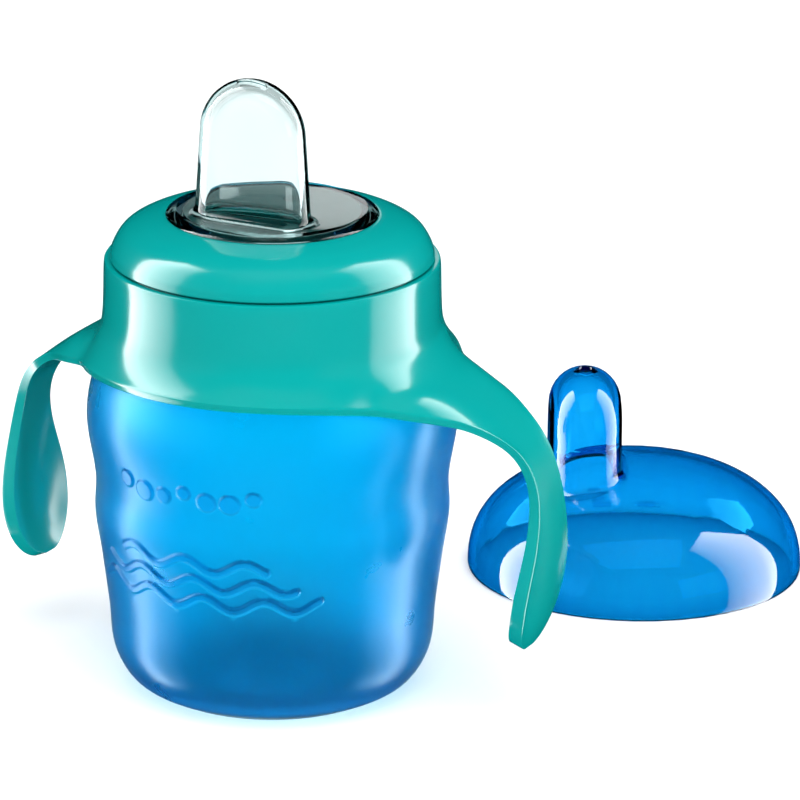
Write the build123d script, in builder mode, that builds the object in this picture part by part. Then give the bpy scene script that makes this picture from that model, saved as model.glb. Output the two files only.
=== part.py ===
from build123d import *
import math
import os

# Toddler's drinking cup: a wavy bottle-shaped body, a two-handled collar, a screw ring,
# a soft spout with its non-spill valve, and a hygiene cap that stands beside the cup.
# Millimetres. Z is up, the origin is the centre of the foot, the two handles lie
# towards -X and +X, and the drinker is on the -Y side, where the spout is set.

# ---- Cup body -------------------------------------------------------------------
WALL = 1.6
FOOT_R = 24.0
FLOOR_Z = 1.8
LOW_WAIST_R = 32.7
BELLY_R = 35.3
UPPER_WAIST_R = 35.1
SHOULDER_R = 36.8
LEDGE_Z = 72.6
LEDGE_R = 30.6
SHOULDER_DROP = 0.4
SHOULDER_INSIDE_DROP = 1.8
FOOT_GROOVE_R = 8.5
FOOT_GROOVE_WIDTH = 1.5
FOOT_GROOVE_DEPTH = 0.5

# ---- Neck and its thread ----------------------------------------------------------
NECK_R = 27.0
NECK_BORE_R = 25.2
RIM_Z = 90.6
RIM_ROUND = 0.4
THREAD_STARTS = 2
THREAD_LEAD = 8.0
THREAD_DEPTH = 1.1
THREAD_ROOT = 1.7
THREAD_CREST = 0.9
NECK_THREAD_Z = 78.4
NECK_THREAD_RISE = 6.0
RING_THREAD_RISE = 5.0
RING_THREAD_TURN = 60.0
THREAD_LIFT = 0.1
THREAD_SINK = 0.4

# ---- Handle collar ------------------------------------------------------------------
COLLAR_BORE_R = 30.7
COLLAR_TOP_Z = 88.2
COLLAR_LIP_R = 31.8
COLLAR_WALL_R = 33.5
COLLAR_WALL_DRAFT = 0.4
COLLAR_LIP_DROP = 1.4
FLARE_Z = 76.5
SKIRT_R = 37.9
SKIRT_Z = 68.2
SKIRT_BAND = 1.4
SKIRT_BAND_LEAN = 0.4
SKIRT_EDGE = 1.3
COLLAR_REST = 0.1
COLLAR_LEDGE = 1.6
COLLAR_LEDGE_R = 28.8
SHOULDER_ROOM = 1.2
HANDLE_THICK = 2.8
HANDLE_ROUND = 0.9
# Outer face of the +X handle from its root to its tip: x, z, then the y of the
# edge nearer the drinker and the y of the edge further away.
HANDLE_STATIONS = [
    (33.0, 69.4, -18.6, 18.6),
    (38.0, 68.4, -15.6, 15.9),
    (42.0, 66.9, -12.0, 14.6),
    (46.0, 64.2, -8.0, 13.1),
    (50.0, 61.2, -5.0, 10.9),
    (54.2, 57.6, -2.4, 9.3),
    (57.2, 53.6, -1.1, 8.8),
    (59.2, 48.4, -0.7, 9.0),
    (60.3, 42.0, -2.0, 10.1),
    (60.1, 35.0, -4.5, 12.1),
    (59.1, 28.5, -6.3, 13.0),
    (58.0, 23.0, -5.4, 11.3),
    (57.0, 18.2, -3.0, 8.6),
    (55.9, 15.4, 0.0, 5.4),
]
HANDLE_TRIM_Z = 10.0

# ---- Screw ring ---------------------------------------------------------------------
RING_R = 30.35
RING_BORE_R = 28.45
RING_FOOT_Z = 74.6
SEAM_Z = 88.5
SEAM_R = 31.9
RING_TOP_Z = 96.9
RING_HOLE_R = 20.4
RING_LIP = 1.9
RING_LIP_LENGTH = 1.6
BEAD_Z = 83.5
BEAD_R = 0.6
BEAD_ROOM = 0.3

# ---- Soft spout -----------------------------------------------------------------------
DISC_R = 21.0
DISC_TOP_R = 18.7
DISC_TOP_Z = 98.3
DISC_UNDER_Z = 96.4
POCKET_R = 17.6
POCKET_Z = 93.2
FLANGE_R = 28.1
FLANGE_TOP_Z = 91.9
GROOVE_R = 20.3
DISC_CROWN = 0.3
SPOUT_Y = -8.0
SPOUT_BASE_HALF = 12.2
SPOUT_HALF = 11.1
SPOUT_DEPTH = 8.6
SPOUT_ROUND = 3.9
SPOUT_TOP_Z = 126.0
SPOUT_WALL = 1.7
SLIT_LENGTH = 6.0
SLIT_WIDTH = 0.5

# ---- Non-spill valve --------------------------------------------------------------------
VALVE_R = 17.4
VALVE_TOP_Z = 96.3
VALVE_PLATE = 1.3
VALVE_SKIN = 0.8
DUCT_LENGTH = 17.0
DUCT_WIDTH = 8.0
VALVE_DROP = 2.6
VALVE_RIM = 1.2
VENT_R = 3.6
VENT_Y = 9.0

# ---- Hygiene cap --------------------------------------------------------------------------
CAP_R = 35.4
CAP_DOME_Z = 22.4
CAP_WALL = 1.6
CAP_CENTRE = (36.6, 93.9)
CAP_TURN = -61.5
DOME_POWER = 2.3
DOME_STEPS = 8
TOWER_Y = -10.6
TOWER_BASE_HALF = 13.4
TOWER_HALF = 12.6
TOWER_DEPTH = 15.2
TOWER_ROUND = 6.9
TOWER_TOP_Z = 43.0
CAP_VENT_R = 1.7
TAB_START = 171.0
TAB_SPREAD = 18.0
TAB_Z = 2.0
TAB_DEPTH = 0.5
TAB_LENGTH = 4.0
TAB_HEIGHT = 1.0


def thread_ridges(radius, outward, base_z, rise, turn=0.0):
    """Ridges of the two-start thread, standing out of a wall or into its bore.

    The ridges start at the angle turn, on the helix that has the height base_z at angle 0.
    """
    start_z = base_z + THREAD_LEAD * turn / 360.0
    ridges = []
    for start in range(THREAD_STARTS):
        angle = turn + 360.0 * start / THREAD_STARTS
        path = Helix(pitch=THREAD_LEAD, height=rise, radius=radius)
        side = Plane(origin=path @ 0, x_dir=(1, 0, 0), z_dir=path % 0)
        with BuildSketch(side) as section:
            with BuildLine():
                Polyline(
                    (-outward * THREAD_SINK, -THREAD_ROOT / 2),
                    (0, -THREAD_ROOT / 2),
                    (outward * THREAD_DEPTH, -THREAD_CREST / 2),
                    (outward * THREAD_DEPTH, THREAD_CREST / 2),
                    (0, THREAD_ROOT / 2),
                    (-outward * THREAD_SINK, THREAD_ROOT / 2),
                    close=True,
                )
            make_face()
        with BuildPart() as ridge:
            sweep(section.sketch, path=path, is_frenet=True)
        ridges.append(ridge.part.moved(Location((0, 0, start_z), (0, 0, angle))))
    return ridges


def wavy_wall(inset):
    """Points up the cup's wavy side, from the foot's rounding to the shoulder."""
    return [
        (LOW_WAIST_R - 4.0 - inset, 2.7 + inset / 2),
        (LOW_WAIST_R - 1.0 - inset, 8.0),
        (LOW_WAIST_R - inset, 17.0),
        (LOW_WAIST_R + 1.4 - inset, 28.0),
        (BELLY_R - inset, 36.5),
        (UPPER_WAIST_R - inset, 43.5),
        (SHOULDER_R - inset, 56.0),
        (SHOULDER_R - 0.9 - inset, 63.0),
        (SHOULDER_R - 3.0 - inset, 69.0 - inset / 2),
    ]


def flat_arch(centre_y, half_base, half_top, base_z, top_z, depth, rounding):
    """Flattened upright arch: leaning sides under a half-round top, with rounded faces."""
    spring_z = top_z - half_top
    with BuildPart() as arch:
        with BuildSketch(Plane.XZ.offset(-centre_y)):
            with BuildLine():
                Polyline(
                    (-half_top, spring_z),
                    (-half_base, base_z),
                    (half_base, base_z),
                    (half_top, spring_z),
                )
                ThreePointArc((half_top, spring_z), (0, top_z), (-half_top, spring_z))
            make_face()
        extrude(amount=depth / 2, both=True)
        ends = arch.faces().filter_by(Axis.Y).edges()
        fillet(ends.filter_by(lambda edge: edge.center().Z > base_z + 0.1), radius=rounding)
    return arch.part


# ---- Cup body: one moulding with a wavy wall, a rounded foot and a threaded neck
neck_ridges = thread_ridges(NECK_R, 1, NECK_THREAD_Z, NECK_THREAD_RISE)

with BuildPart() as cup_body:
    with BuildSketch(Plane.XZ):
        with BuildLine():
            Polyline((0, FLOOR_Z), (0, 0), (FOOT_R, 0))
            Spline((FOOT_R, 0), *wavy_wall(0), (LEDGE_R, LEDGE_Z))
            Polyline(
                (LEDGE_R, LEDGE_Z),
                (NECK_R, LEDGE_Z),
                (NECK_R, RIM_Z - RIM_ROUND),
                (NECK_R - RIM_ROUND, RIM_Z),
                (NECK_BORE_R + RIM_ROUND, RIM_Z),
                (NECK_BORE_R, RIM_Z - RIM_ROUND),
                (NECK_BORE_R, LEDGE_Z - SHOULDER_DROP),
            )
            Spline(
                (NECK_BORE_R, LEDGE_Z - SHOULDER_DROP),
                (LEDGE_R - WALL, LEDGE_Z - SHOULDER_INSIDE_DROP),
                *reversed(wavy_wall(WALL)),
                (FOOT_R, FLOOR_Z),
            )
            Line((FOOT_R, FLOOR_Z), (0, FLOOR_Z))
        make_face()
    revolve(axis=Axis.Z)
    with BuildSketch(Plane.XY):
        Circle(FOOT_GROOVE_R)
        Circle(FOOT_GROOVE_R - FOOT_GROOVE_WIDTH, mode=Mode.SUBTRACT)
    extrude(amount=FOOT_GROOVE_DEPTH, mode=Mode.SUBTRACT)
    for ridge in neck_ridges:
        add(ridge)
cup_body.part.label = "cup_body"


def handle_section(station, before, after):
    """Rounded slab across the handle, square to its run from one neighbour to the next."""
    x, z, near, far = station
    run = Vector(after[0] - before[0], 0, after[1] - before[1])
    across = Vector(0, 1, 0)
    inward = across.cross(run).normalized()
    centre = Vector(x, (near + far) / 2, z) + inward * (HANDLE_THICK / 2)
    with BuildSketch(Plane(origin=centre, x_dir=across, z_dir=run)) as section:
        RectangleRounded(far - near, HANDLE_THICK, HANDLE_ROUND)
    return section.sketch


# ---- Handle collar: sleeve, flared skirt and two swept handles in one moulding
last = len(HANDLE_STATIONS) - 1
handle_sections = []
for i, station in enumerate(HANDLE_STATIONS):
    before = HANDLE_STATIONS[max(i - 1, 0)]
    after = HANDLE_STATIONS[min(i + 1, last)]
    handle_sections.append(handle_section(station, before, after))

with BuildPart() as handle:
    for section in handle_sections:
        add(section)
    loft()

with BuildPart() as handle_collar:
    with BuildSketch(Plane.XZ):
        with BuildLine():
            Polyline(
                (SKIRT_R, SKIRT_Z + SKIRT_BAND),
                (SKIRT_R - SKIRT_BAND_LEAN, SKIRT_Z),
                (COLLAR_LEDGE_R, SKIRT_Z),
                (COLLAR_LEDGE_R, COLLAR_TOP_Z),
                (COLLAR_LIP_R, COLLAR_TOP_Z),
            )
            lip = ThreePointArc(
                (COLLAR_LIP_R, COLLAR_TOP_Z),
                (COLLAR_WALL_R - COLLAR_WALL_DRAFT - 0.3, COLLAR_TOP_Z - COLLAR_LIP_DROP / 3),
                (COLLAR_WALL_R - COLLAR_WALL_DRAFT, COLLAR_TOP_Z - COLLAR_LIP_DROP),
            )
            side = Line(lip @ 1, (COLLAR_WALL_R, FLARE_Z))
            Spline(
                side @ 1,
                (COLLAR_WALL_R + 1.0, FLARE_Z - 2.8),
                (SKIRT_R - 1.7, SKIRT_Z + SKIRT_BAND + 1.9),
                (SKIRT_R, SKIRT_Z + SKIRT_BAND),
            )
        make_face()
    revolve(axis=Axis.Z)
    add(handle.part)
    mirror(handle.part, about=Plane.YZ)
    with BuildSketch(Plane.XZ):
        with BuildLine():
            Polyline(
                (0, HANDLE_TRIM_Z),
                (SKIRT_R - SKIRT_EDGE, HANDLE_TRIM_Z),
                (SKIRT_R - SKIRT_EDGE, SKIRT_Z),
                (LEDGE_R + SHOULDER_ROOM, LEDGE_Z + COLLAR_REST),
                (COLLAR_LEDGE_R, LEDGE_Z + COLLAR_REST),
                (COLLAR_LEDGE_R, LEDGE_Z + COLLAR_REST + COLLAR_LEDGE),
                (COLLAR_BORE_R, LEDGE_Z + COLLAR_REST + COLLAR_LEDGE),
                (COLLAR_BORE_R, BEAD_Z - BEAD_R - BEAD_ROOM),
                (COLLAR_BORE_R + BEAD_R, BEAD_Z - BEAD_ROOM),
                (COLLAR_BORE_R + BEAD_R, BEAD_Z + BEAD_ROOM),
                (COLLAR_BORE_R, BEAD_Z + BEAD_R + BEAD_ROOM),
                (COLLAR_BORE_R, RIM_Z),
                (0, RIM_Z),
                close=True,
            )
        make_face()
    revolve(axis=Axis.Z, mode=Mode.SUBTRACT)
handle_collar.part.label = "handle_collar"

# ---- Screw ring: threaded skirt under a rounded dome with a round hole for the spout
ring_thread_z = NECK_THREAD_Z - THREAD_LEAD / THREAD_STARTS / 2 + THREAD_LIFT
ring_ridges = thread_ridges(RING_BORE_R, -1, ring_thread_z, RING_THREAD_RISE, RING_THREAD_TURN)

with BuildPart() as screw_ring:
    with BuildSketch(Plane.XZ):
        with BuildLine():
            Polyline(
                (RING_R, SEAM_Z),
                (SEAM_R - 0.2, SEAM_Z),
                (SEAM_R, SEAM_Z + 0.2),
            )
            Spline(
                (SEAM_R, SEAM_Z + 0.2),
                (SEAM_R - 0.4, SEAM_Z + 2.0),
                (SEAM_R - 2.3, SEAM_Z + 5.1),
                (SEAM_R - 5.4, SEAM_Z + 7.0),
                (DISC_R + 1.0, RING_TOP_Z - 0.1),
                (RING_HOLE_R, RING_TOP_Z),
            )
            Polyline(
                (RING_HOLE_R, RING_TOP_Z),
                (RING_HOLE_R, RING_TOP_Z - RING_LIP),
                (RING_HOLE_R + RING_LIP_LENGTH, RING_TOP_Z - RING_LIP - 0.1),
                (DISC_R + 4.2, RING_TOP_Z - RING_LIP - 0.9),
                (RING_BORE_R - 0.8, FLANGE_TOP_Z + 0.8),
                (RING_BORE_R, FLANGE_TOP_Z),
                (RING_BORE_R, RING_FOOT_Z),
                (RING_R, RING_FOOT_Z),
                (RING_R, BEAD_Z - BEAD_R),
                (RING_R + BEAD_R, BEAD_Z - BEAD_R / 3),
                (RING_R + BEAD_R, BEAD_Z + BEAD_R / 3),
                (RING_R, BEAD_Z + BEAD_R),
                (RING_R, SEAM_Z),
            )
        make_face()
    revolve(axis=Axis.Z)
    for ridge in ring_ridges:
        add(ridge)
screw_ring.part.label = "screw_ring"


# ---- Soft spout: flange, grooved disc and flattened hollow spout in one clear moulding
spout_outside = flat_arch(
    SPOUT_Y,
    SPOUT_BASE_HALF,
    SPOUT_HALF,
    DISC_UNDER_Z,
    SPOUT_TOP_Z,
    SPOUT_DEPTH,
    SPOUT_ROUND,
)
spout_hollow = flat_arch(
    SPOUT_Y,
    SPOUT_BASE_HALF - SPOUT_WALL,
    SPOUT_HALF - SPOUT_WALL,
    DISC_UNDER_Z,
    SPOUT_TOP_Z - SPOUT_WALL,
    SPOUT_DEPTH - 2 * SPOUT_WALL,
    SPOUT_ROUND - SPOUT_WALL,
)

with BuildPart() as soft_spout:
    with BuildSketch(Plane.XZ):
        with BuildLine():
            ThreePointArc(
                (0, DISC_TOP_Z + DISC_CROWN),
                (DISC_TOP_R / 2, DISC_TOP_Z + DISC_CROWN * 0.75),
                (DISC_TOP_R, DISC_TOP_Z),
            )
            Polyline(
                (DISC_TOP_R, DISC_TOP_Z),
                (DISC_R - 0.3, RING_TOP_Z + 0.5),
                (DISC_R, RING_TOP_Z + 0.1),
                (GROOVE_R, RING_TOP_Z + 0.1),
                (GROOVE_R, RING_TOP_Z - RING_LIP - 0.1),
                (RING_HOLE_R + RING_LIP_LENGTH, RING_TOP_Z - RING_LIP - 0.2),
                (DISC_R + 4.2, RING_TOP_Z - RING_LIP - 1.0),
                (FLANGE_R - 0.6, FLANGE_TOP_Z + 0.6),
                (FLANGE_R, FLANGE_TOP_Z - 0.2),
                (FLANGE_R, RIM_Z + COLLAR_REST),
                (NECK_BORE_R - 0.3, RIM_Z + COLLAR_REST),
                (NECK_BORE_R - 1.6, POCKET_Z - 0.8),
                (POCKET_R + 1.4, POCKET_Z),
                (POCKET_R, POCKET_Z),
                (POCKET_R, DISC_UNDER_Z),
                (0, DISC_UNDER_Z),
                (0, DISC_TOP_Z + DISC_CROWN),
            )
        make_face()
    revolve(axis=Axis.Z)
    add(spout_outside)
    add(spout_hollow, mode=Mode.SUBTRACT)
    with BuildSketch(Plane.XY.offset(SPOUT_TOP_Z)):
        with Locations((0, SPOUT_Y)):
            SlotOverall(SLIT_LENGTH, SLIT_WIDTH)
    extrude(amount=-2 * SPOUT_WALL, mode=Mode.SUBTRACT)
soft_spout.part.label = "soft_spout"

# ---- Non-spill valve: press-in plate with a slit duct under the spout and a round vent
with BuildPart() as non_spill_valve:
    with BuildSketch(Plane.XY.offset(VALVE_TOP_Z - VALVE_PLATE)):
        Circle(VALVE_R)
    extrude(amount=VALVE_PLATE)
    with BuildSketch(Plane.XY.offset(VALVE_TOP_Z - VALVE_PLATE)):
        Circle(VALVE_R)
        Circle(VALVE_R - VALVE_RIM, mode=Mode.SUBTRACT)
        with Locations((0, SPOUT_Y)):
            SlotOverall(DUCT_LENGTH, DUCT_WIDTH)
        with Locations((0, VENT_Y)):
            Circle(VENT_R)
    extrude(amount=-VALVE_DROP)
    with BuildSketch(Plane.XY.offset(VALVE_TOP_Z)):
        with Locations((0, SPOUT_Y)):
            SlotOverall(DUCT_LENGTH - 2 * VALVE_RIM, DUCT_WIDTH - 2 * VALVE_RIM)
        with Locations((0, VENT_Y)):
            Circle(VENT_R - VALVE_RIM)
    extrude(amount=VALVE_SKIN - VALVE_PLATE - VALVE_DROP, mode=Mode.SUBTRACT)
    with BuildSketch(Plane.XY.offset(VALVE_TOP_Z)):
        with Locations((0, SPOUT_Y)):
            SlotOverall(DUCT_LENGTH / 2, SLIT_WIDTH)
        with Locations((0, VENT_Y)):
            SlotOverall(VENT_R, SLIT_WIDTH)
    extrude(amount=-VALVE_PLATE - VALVE_DROP, mode=Mode.SUBTRACT)
non_spill_valve.part.label = "non_spill_valve"


def dome_profile(radius, height):
    """Quarter of a blunt oval: straight sides at the rim, rolling over to a flat crown."""
    points = []
    for step in range(DOME_STEPS + 1):
        angle = math.pi / 2 * step / DOME_STEPS
        x = radius * math.cos(angle) ** (2 / DOME_POWER)
        z = height * math.sin(angle) ** (2 / DOME_POWER)
        points.append((x, z))
    return points


def cap_shape(inset):
    """Solid outline of the cap, moved inwards all round by inset."""
    radius = CAP_R - inset
    height = CAP_DOME_Z - inset
    tower = flat_arch(
        TOWER_Y,
        TOWER_BASE_HALF - inset,
        TOWER_HALF - inset,
        0,
        TOWER_TOP_Z - inset,
        TOWER_DEPTH - 2 * inset,
        TOWER_ROUND - inset,
    )
    with BuildPart() as shape:
        with BuildSketch(Plane.XZ):
            with BuildLine():
                Spline(*dome_profile(radius, height))
                Polyline((0, height), (0, 0), (radius, 0))
            make_face()
        revolve(axis=Axis.Z)
        add(tower)
    return shape.part


# ---- Hygiene cap: one clear dome with a tower over the spout, standing on its rim
cap_outside = cap_shape(0)
cap_hollow = cap_shape(CAP_WALL)

with BuildPart() as hygiene_cap:
    add(cap_outside)
    add(cap_hollow, mode=Mode.SUBTRACT)
    with BuildSketch(Plane.XY.offset(TOWER_TOP_Z)):
        with Locations((0, TOWER_Y)):
            Circle(CAP_VENT_R)
    extrude(amount=-2 * CAP_WALL, mode=Mode.SUBTRACT)
    with PolarLocations(CAP_R - CAP_WALL, 2, TAB_START, TAB_SPREAD, endpoint=True):
        with Locations((0, 0, TAB_Z)):
            Box(2 * TAB_DEPTH, TAB_LENGTH, TAB_HEIGHT)
hygiene_cap.part = hygiene_cap.part.moved(Location((*CAP_CENTRE, 0), (0, 0, CAP_TURN)))
hygiene_cap.part.label = "hygiene_cap"

os.makedirs("parts", exist_ok=True)
for piece in (cup_body, handle_collar, screw_ring, soft_spout, non_spill_valve, hygiene_cap):
    export_step(piece.part, f"parts/{piece.part.label}.step")
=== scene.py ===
import math

import bmesh
import bpy
from bpy.props import FloatProperty, FloatVectorProperty, PointerProperty
from mathutils import Matrix, Quaternion, Vector


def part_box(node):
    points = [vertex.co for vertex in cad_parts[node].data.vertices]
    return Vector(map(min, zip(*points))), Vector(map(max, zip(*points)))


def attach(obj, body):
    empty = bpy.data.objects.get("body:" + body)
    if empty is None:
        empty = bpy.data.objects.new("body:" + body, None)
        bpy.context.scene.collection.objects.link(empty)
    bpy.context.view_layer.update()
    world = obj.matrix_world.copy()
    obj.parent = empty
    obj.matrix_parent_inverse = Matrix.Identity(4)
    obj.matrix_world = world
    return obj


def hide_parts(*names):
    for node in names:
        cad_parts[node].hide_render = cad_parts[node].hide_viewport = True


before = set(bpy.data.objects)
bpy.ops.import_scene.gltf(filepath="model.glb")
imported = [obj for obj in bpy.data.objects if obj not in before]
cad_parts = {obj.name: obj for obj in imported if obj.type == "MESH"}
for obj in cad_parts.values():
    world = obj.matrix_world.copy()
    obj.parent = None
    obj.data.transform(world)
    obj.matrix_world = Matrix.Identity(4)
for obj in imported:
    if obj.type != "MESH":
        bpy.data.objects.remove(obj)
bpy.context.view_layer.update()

bl_info = {
    "name": "Toddler's spout cup",
    "version": (1, 0, 0),
    "blender": (4, 5, 0),
    "location": "3D View > Sidebar > Spout Cup",
    "description": "Builds the looks of a two-handled spout cup and its hygiene cap",
    "category": "Add Mesh",
}

MM = 0.001

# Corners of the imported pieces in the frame, in millimetres.
CUP_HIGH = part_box("cup_body")[1] / MM
RING_LOW, RING_HIGH = [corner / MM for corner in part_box("screw_ring")]
SPOUT_LOW, SPOUT_HIGH = [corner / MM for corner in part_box("soft_spout")]
CAP_LOW, CAP_HIGH = [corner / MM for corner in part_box("hygiene_cap")]
CAP_MIDDLE = (CAP_LOW + CAP_HIGH) / 2

# The pieces are drawn in millimetres, and their named angles are degrees; the settings in
# the panel and the studio are in metres. The drinker's side of the cup is its front.
FRONT = -90.0

# Points round one end and along one face of a flattened ring, and rows up the side and
# over the top of a flattened arch.
END_STEPS = 16
FACE_STEPS = 28
STRAIGHT_ROWS = 14
CURVED_ROWS = 22

# The thread is the same on the neck and in the ring.
THREAD_STARTS = 2
THREAD_LEAD = 8.0
THREAD_DEPTH = 1.1
THREAD_HALF = 0.85
THREAD_FLANK = 0.4
THREAD_FADE = 10.0
NECK_THREAD_Z = 78.4
NECK_THREAD_RISE = 6.0
RING_THREAD_Z = 77.83
RING_THREAD_RISE = 5.0
RING_THREAD_ANGLE = 60.0


def linear(hex_colour):
    """Linear colour with alpha from an sRGB hex value."""
    colour = []
    for start in (1, 3, 5):
        part = int(hex_colour[start : start + 2], 16) / 255
        colour.append(part / 12.92 if part <= 0.04045 else ((part + 0.055) / 1.055) ** 2.4)
    return (*colour, 1.0)


class SpoutCupSizes(bpy.types.PropertyGroup):
    """Sizes that change the cup's character without changing its frame."""

    wall: FloatProperty(
        name="Wall",
        description="Thickness of the moulded walls of the cup and the cap",
        default=1.6 * MM,
        unit="LENGTH",
    )
    relief: FloatProperty(
        name="Relief",
        description="How far the ripples and bubbles stand out of the cup's side",
        default=0.45 * MM,
        unit="LENGTH",
    )
    ripple_width: FloatProperty(
        name="Ripple width",
        description="Width of one raised ripple line",
        default=1.5 * MM,
        unit="LENGTH",
    )
    grip: FloatProperty(
        name="Grip thickness",
        description="Thickness of the handles at the tip",
        default=3.0 * MM,
        unit="LENGTH",
    )
    spout_wall: FloatProperty(
        name="Spout wall",
        description="Thickness of the soft spout's wall",
        default=1.7 * MM,
        unit="LENGTH",
    )


class SpoutCupColours(bpy.types.PropertyGroup):
    """Colours of the mouldings."""

    cup: FloatVectorProperty(
        name="Cup",
        description="Colour of white light behind one wall of the cup",
        subtype="COLOR",
        size=4,
        default=linear("#28D2F0"),
    )
    handles: FloatVectorProperty(
        name="Handles and ring",
        description="Colour of the opaque handle collar and screw ring",
        subtype="COLOR",
        size=4,
        default=linear("#00918E"),
    )
    cap: FloatVectorProperty(
        name="Cap",
        description="Colour of white light behind one wall of the cap",
        subtype="COLOR",
        size=4,
        default=linear("#44C8F0"),
    )
    spout: FloatVectorProperty(
        name="Spout",
        description="Colour of white light behind one wall of the soft spout",
        subtype="COLOR",
        size=4,
        default=linear("#F0F8F8"),
    )
    # Dark on purpose: painted shade of the cup's inside, which shows through the spout.
    valve: FloatVectorProperty(
        name="Valve",
        description="Colour of the non-spill valve under the spout",
        subtype="COLOR",
        size=4,
        default=linear("#185A58"),
    )
    floor: FloatVectorProperty(
        name="Floor",
        description="Colour of the studio floor",
        subtype="COLOR",
        size=4,
        default=linear("#FAFAFA"),
    )


# ---- Curves and rings -----------------------------------------------------------------


def smooth_curve(points, steps):
    """Points along a centripetal Catmull-Rom curve through the given points."""
    knots = [Vector(p) for p in points]
    ends = [2 * knots[0] - knots[1], *knots, 2 * knots[-1] - knots[-2]]
    curve = []
    for p0, p1, p2, p3 in zip(ends, ends[1:], ends[2:], ends[3:]):
        t1 = (p1 - p0).length ** 0.5
        t2 = t1 + (p2 - p1).length ** 0.5
        t3 = t2 + (p3 - p2).length ** 0.5
        for step in range(steps):
            t = t1 + (t2 - t1) * step / steps
            a1 = p0.lerp(p1, t / t1)
            a2 = p1.lerp(p2, (t - t1) / (t2 - t1))
            a3 = p2.lerp(p3, (t - t2) / (t3 - t2))
            b1 = a1.lerp(a2, t / t2)
            b2 = a2.lerp(a3, (t - t1) / (t3 - t1))
            curve.append(b1.lerp(b2, (t - t1) / (t2 - t1)))
    return curve + [knots[-1]]


def along(points, x):
    """Second value at x on the smooth curve through (x, value) points."""
    curve = smooth_curve(points, 8)
    for before, after in zip(curve, curve[1:]):
        if (before.x - x) * (after.x - x) <= 0 and before.x != after.x:
            return before.y + (after.y - before.y) * (x - before.x) / (after.x - before.x)
    nearest = min(curve, key=lambda p: abs(p.x - x))
    return nearest.y


def softened(corners, steps=4):
    """Outline with rounded corners, from (radius, height, rounding) values."""
    outline = []
    for i, (x, z, rounding) in enumerate(corners):
        corner = Vector((x, z))
        if rounding == 0 or i in (0, len(corners) - 1):
            outline.append(corner)
            continue
        before = Vector(corners[i - 1][:2]) - corner
        after = Vector(corners[i + 1][:2]) - corner
        start = corner + before.normalized() * min(rounding, before.length * 0.48)
        end = corner + after.normalized() * min(rounding, after.length * 0.48)
        for step in range(steps + 1):
            t = step / steps
            outline.append(start.lerp(corner, t).lerp(corner.lerp(end, t), t))
    return outline


def circle_ring(angles, radius, height):
    """One ring of points about the upright axis."""
    return [Vector((radius * math.cos(a), radius * math.sin(a), height)) for a in angles]


def even_angles(count):
    """Angles evenly round the axis."""
    return [math.tau * i / count for i in range(count)]


def slot_ring(centre_x, centre_z, radius, centre_y, lean=0.0, crown=0.0):
    """Ring with two half-round ends and two long faces; lean turns the ends upwards."""
    ends, faces = range(END_STEPS + 1), range(1, FACE_STEPS)
    side, rise = math.cos(lean), math.sin(lean)
    ring = []
    for hand in (1, -1):
        for step in ends:
            turn = hand * (math.pi * step / END_STEPS - math.pi / 2)
            reach = radius * math.cos(turn)
            x = hand * (centre_x + side * reach)
            ring.append(Vector((x, centre_y + radius * math.sin(turn), centre_z + rise * reach)))
        for step in faces:
            share = 1 - 2 * step / FACE_STEPS
            depth = radius + crown * (1 - share**2)
            ring.append(Vector((hand * centre_x * share, centre_y + hand * depth, centre_z)))
    return ring


def out_to_circle(ring, centre_y, radius):
    """Points where rays from the ring's middle through its points meet a circle about the axis."""
    met = []
    for point in ring:
        direction = Vector((point.x, point.y - centre_y)).normalized()
        half = direction.y * centre_y
        reach = -half + math.sqrt(half**2 + radius**2 - centre_y**2)
        met.append(Vector((direction.x * reach, centre_y + direction.y * reach)))
    return met


def spread(ring, centre_y, radius, shares, height):
    """Rings between a slot-shaped ring and a circle, laid on the surface height(radius)."""
    circle = out_to_circle(ring, centre_y, radius)
    rings = []
    for share in shares:
        row = []
        for point, far in zip(ring, circle):
            flat = point.xy.lerp(far, share)
            row.append(Vector((flat.x, flat.y, height(min(flat.length, radius)))))
        rings.append(row)
    return rings


def arch_rings(centre_y, half_base, half_top, base_z, top_z, half_depth, crown):
    """Rings from the foot of a flattened arch up over its half-round top."""
    centre_z = top_z - half_top
    lean = math.atan2(half_base - half_top, centre_z - base_z)
    shoulder = Vector((half_top * math.cos(lean), centre_z + half_top * math.sin(lean)))
    rows = []
    for step in range(STRAIGHT_ROWS):
        share = step / STRAIGHT_ROWS
        rows.append((Vector((half_base, base_z)).lerp(shoulder, share), lean * share))
    for step in range(CURVED_ROWS + 1):
        tilt = lean + (math.pi / 2 - lean) * step / CURVED_ROWS
        place = Vector((half_top * math.cos(tilt), centre_z + half_top * math.sin(tilt)))
        rows.append((place, tilt))
    rings = []
    for place, tilt in rows:
        centre = place - half_depth * Vector((math.cos(tilt), math.sin(tilt)))
        reach = max(centre.x, 0.0)
        bulge = crown * min(1.0, reach / (half_base - half_depth))
        rings.append(slot_ring(reach, centre.y, half_depth, centre_y, tilt, bulge))
    return rings


def skin(name, rings, sharp=35):
    """Mesh object over a stack of rings; rings that fold onto themselves close the skin."""
    grid = bmesh.new()
    rows = [[grid.verts.new(point * MM) for point in ring] for ring in rings]
    for row, following in zip(rows, rows[1:]):
        for i in range(len(row)):
            j = (i + 1) % len(row)
            grid.faces.new((row[i], row[j], following[j], following[i]))
    return close_mesh(name, grid, sharp)


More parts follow.
